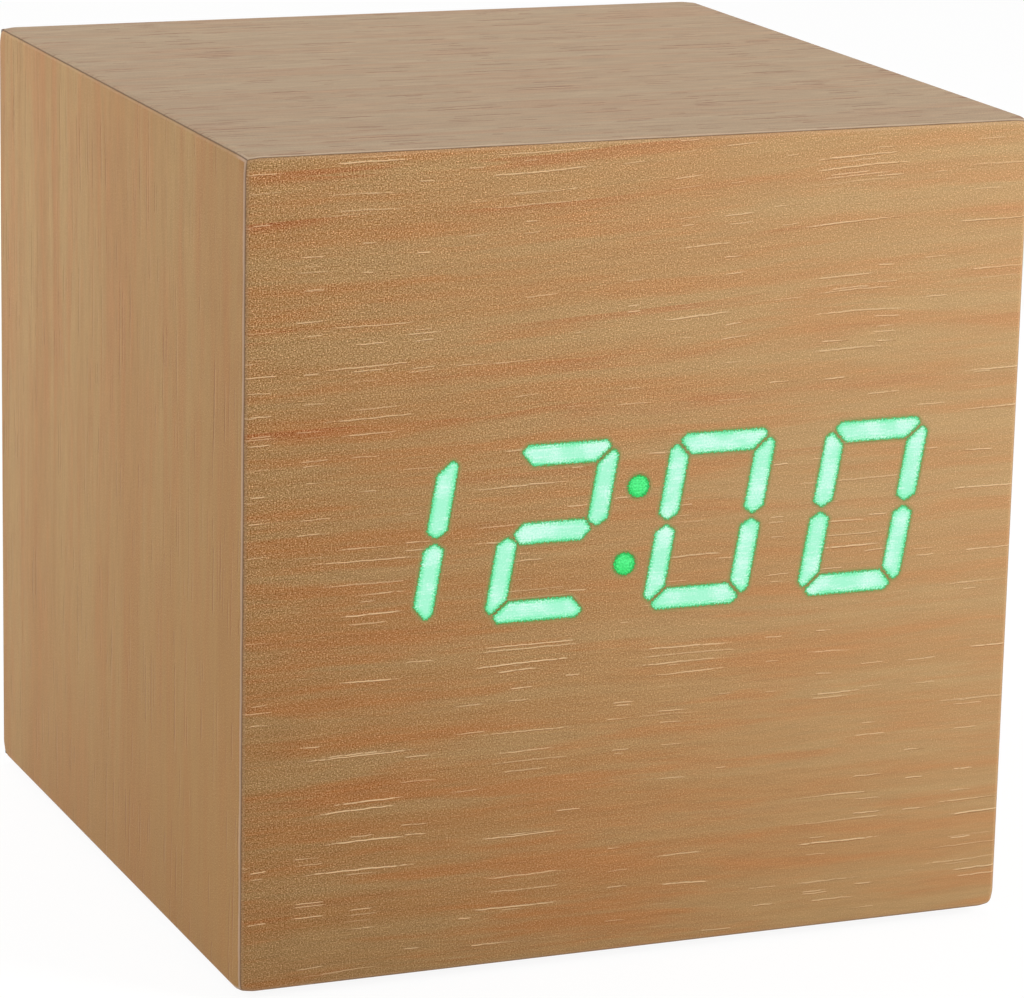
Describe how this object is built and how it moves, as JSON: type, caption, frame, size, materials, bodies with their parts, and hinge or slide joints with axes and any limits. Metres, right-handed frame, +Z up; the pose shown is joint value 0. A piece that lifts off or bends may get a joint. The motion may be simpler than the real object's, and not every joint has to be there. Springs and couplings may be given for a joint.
{
  "type": "digital desk clock",
  "caption": "Cube-shaped wooden desk clock with a glowing green digital display in the front face, and push buttons, a power socket and a hinged battery door in the recessed back.",
  "frame": {"origin": "on the surface the clock stands on, under the middle of the case", "axes": "+Z up, -Y out of the front face with the display, +Y out of the back, +X to the right seen from the front"},
  "size_m": [0.068, 0.068, 0.0688],
  "materials": {
    "front_veneer": "satin",
    "side_veneer": "satin",
    "fibreboard": "matte",
    "foot_rubber": "matte",
    "lit_guide": "glossy",
    "lit_dot": "glossy",
    "dark_guide": "glossy",
    "white_plastic": "satin",
    "led_chip": "glossy",
    "circuit_board": "satin",
    "chip_black": "matte",
    "tinned_metal": "satin",
    "bright_steel": "satin",
    "dark_steel": "satin",
    "capacitor_sleeve": "satin",
    "sensor_epoxy": "glossy",
    "black_plastic": "fine matte texture",
    "button_black": "satin",
    "brass_pin": "polished",
    "cell_metal": "satin",
    "cell_sleeve": "glossy",
    "red_wire": "satin",
    "black_wire": "satin",
    "grey_ribbon": "satin"
  },
  "bodies": {
    "clock_case": {"aaa_cell_1": "cell_metal", "aaa_cell_2": "cell_metal", "aaa_cell_3": "cell_metal", "alarm_buzzer": "chip_black", "backup_cell": "bright_steel", "backup_cell_holder": "white_plastic", "battery_contacts": "tinned_metal", "battery_lead_black": "black_wire", "battery_lead_red": "red_wire", "battery_springs": "tinned_metal", "bottom_board": "fibreboard", "bottom_veneer": "side_veneer", "button_board": "circuit_board", "button_board_screws": "bright_steel", "cell_sleeves": "cell_sleeve", "chip_leads": "tinned_metal", "chip_resistors": "chip_black", "clock_chip": "chip_black", "colon_light_guides": "lit_dot", "controller_chip": "chip_black", "corner_blocks": "fibreboard", "crystal_can": "bright_steel", "driver_transistors": "chip_black", "foot_pads": "foot_rubber", "front_board": "fibreboard", "front_veneer": "front_veneer", "hour_tens_light_guides": "lit_guide", "hour_units_light_guides": "lit_guide", "left_board": "fibreboard", "left_veneer": "side_veneer", "main_board": "circuit_board", "main_board_screws": "bright_steel", "microphone": "bright_steel", "microphone_boot": "foot_rubber", "minute_tens_light_guides": "lit_guide", "minute_units_light_guides": "lit_guide", "power_socket": "chip_black", "power_socket_pin": "brass_pin", "rear_cover": "black_plastic", "rear_cover_screws": "dark_steel", "rear_edge_band": "side_veneer", "reflector_block": "white_plastic", "ribbon_cable": "grey_ribbon", "right_board": "fibreboard", "right_veneer": "side_veneer", "segment_leds": "led_chip", "smoothing_capacitors": "capacitor_sleeve", "switch_bodies": "chip_black", "thermistor": "sensor_epoxy", "top_board": "fibreboard", "top_veneer": "side_veneer", "unlit_light_guides": "dark_guide", "wire_plugs": "white_plastic"},
    "door": {"battery_door": "black_plastic"},
    "set_key": {"set_button": "button_black", "set_switch_plunger": "chip_black"},
    "up_key": {"up_button": "button_black", "up_switch_plunger": "chip_black"},
    "down_key": {"down_button": "button_black", "down_switch_plunger": "chip_black"}
  },
  "joints": [
    {"name": "battery_door_hinge", "type": "hinge", "parent": "clock_case", "child": "door", "pos_m": [0, 0.033, 0.0126], "axis": [-1, 0, 0], "range_deg": [0, 80]},
    {"name": "set_button_press", "type": "slide", "parent": "clock_case", "child": "set_key", "axis": [0, -1, 0], "range_m": [0, 0.0005], "stiffness_N_per_m": 300, "springref_m": -0.003},
    {"name": "up_button_press", "type": "slide", "parent": "clock_case", "child": "up_key", "axis": [0, -1, 0], "range_m": [0, 0.0005], "stiffness_N_per_m": 300, "springref_m": -0.003},
    {"name": "down_button_press", "type": "slide", "parent": "clock_case", "child": "down_key", "axis": [0, -1, 0], "range_m": [0, 0.0005], "stiffness_N_per_m": 300, "springref_m": -0.003}
  ]
}
